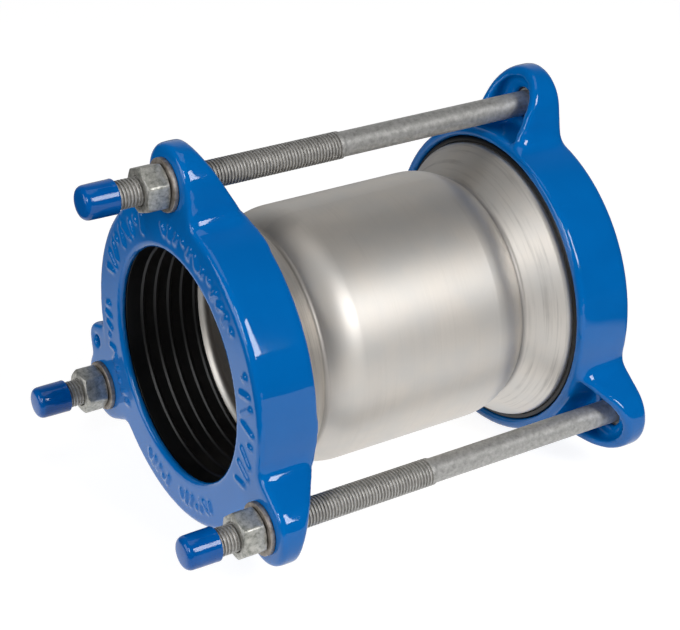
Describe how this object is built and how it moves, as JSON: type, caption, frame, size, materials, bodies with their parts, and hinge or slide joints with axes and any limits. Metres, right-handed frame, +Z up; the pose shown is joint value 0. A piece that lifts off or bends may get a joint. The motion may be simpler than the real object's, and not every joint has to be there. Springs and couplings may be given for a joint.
{
  "type": "gibault joint",
  "caption": "Bolted flexible coupling that joins plain pipe ends: a steel sleeve between cast end rings, ribbed rubber gaskets, long bolts with nuts and end caps",
  "frame": {"origin": "on the pipe's axis, midway between the two end rings", "axes": "+X along the pipe, from the ring with the nuts to the ring with the bolt heads, +Z up through the upper bolt"},
  "size_m": [0.302, 0.2338, 0.2265],
  "materials": {
    "ring_coating": "glossy epoxy",
    "sleeve_steel": "satin",
    "galvanised_steel": "matt, hot-dip galvanised",
    "gasket_rubber": "matt",
    "cap_plastic": "soft gloss"
  },
  "bodies": {
    "sleeve": {"sleeve": "sleeve_steel"},
    "front_ring": {"front_end_ring": "ring_coating", "front_gasket": "gasket_rubber", "washer_1": "galvanised_steel", "washer_2": "galvanised_steel", "washer_3": "galvanised_steel"},
    "rear_ring": {"rear_end_ring": "ring_coating", "rear_gasket": "gasket_rubber", "bolt_1": "galvanised_steel", "bolt_2": "galvanised_steel", "bolt_3": "galvanised_steel"},
    "nut_1": {"nut_1": "galvanised_steel"},
    "nut_2": {"nut_2": "galvanised_steel"},
    "nut_3": {"nut_3": "galvanised_steel"},
    "cap_1": {"cap_1": "cap_plastic"},
    "cap_2": {"cap_2": "cap_plastic"},
    "cap_3": {"cap_3": "cap_plastic"}
  },
  "joints": [
    {"name": "front_ring_slide", "type": "slide", "parent": "sleeve", "child": "front_ring", "axis": [1, 0, 0], "range_m": [0, 0.008], "deforming": ["front_gasket"]},
    {"name": "rear_ring_slide", "type": "slide", "parent": "sleeve", "child": "rear_ring", "axis": [-1, 0, 0], "range_m": [0, 0.008], "deforming": ["rear_gasket"]},
    {"name": "nut_1_turn", "type": "hinge", "parent": "front_ring", "child": "nut_1", "pos_m": [-0.134, 0, 0.109], "axis": [1, 0, 0], "range_deg": [0, 2880]},
    {"name": "nut_2_turn", "type": "hinge", "parent": "front_ring", "child": "nut_2", "pos_m": [-0.134, -0.0944, -0.0545], "axis": [1, 0, 0], "range_deg": [0, 2880]},
    {"name": "nut_3_turn", "type": "hinge", "parent": "front_ring", "child": "nut_3", "pos_m": [-0.134, 0.0944, -0.0545], "axis": [1, 0, 0], "range_deg": [0, 2880]},
    {"name": "cap_1_pull", "type": "slide", "parent": "rear_ring", "child": "cap_1", "axis": [-1, 0, 0], "range_m": [0, 0.013]},
    {"name": "cap_2_pull", "type": "slide", "parent": "rear_ring", "child": "cap_2", "axis": [-1, 0, 0], "range_m": [0, 0.0155]},
    {"name": "cap_3_pull", "type": "slide", "parent": "rear_ring", "child": "cap_3", "axis": [-1, 0, 0], "range_m": [0, 0.018]}
  ],
  "couplings": [
    {"joint": "rear_ring_slide", "follows": "front_ring_slide", "ratio": 1},
    {"joint": "nut_1_turn", "follows": "front_ring_slide", "rad_per_m": 6283.2},
    {"joint": "nut_2_turn", "follows": "front_ring_slide", "rad_per_m": 6283.2},
    {"joint": "nut_3_turn", "follows": "front_ring_slide", "rad_per_m": 6283.2}
  ]
}
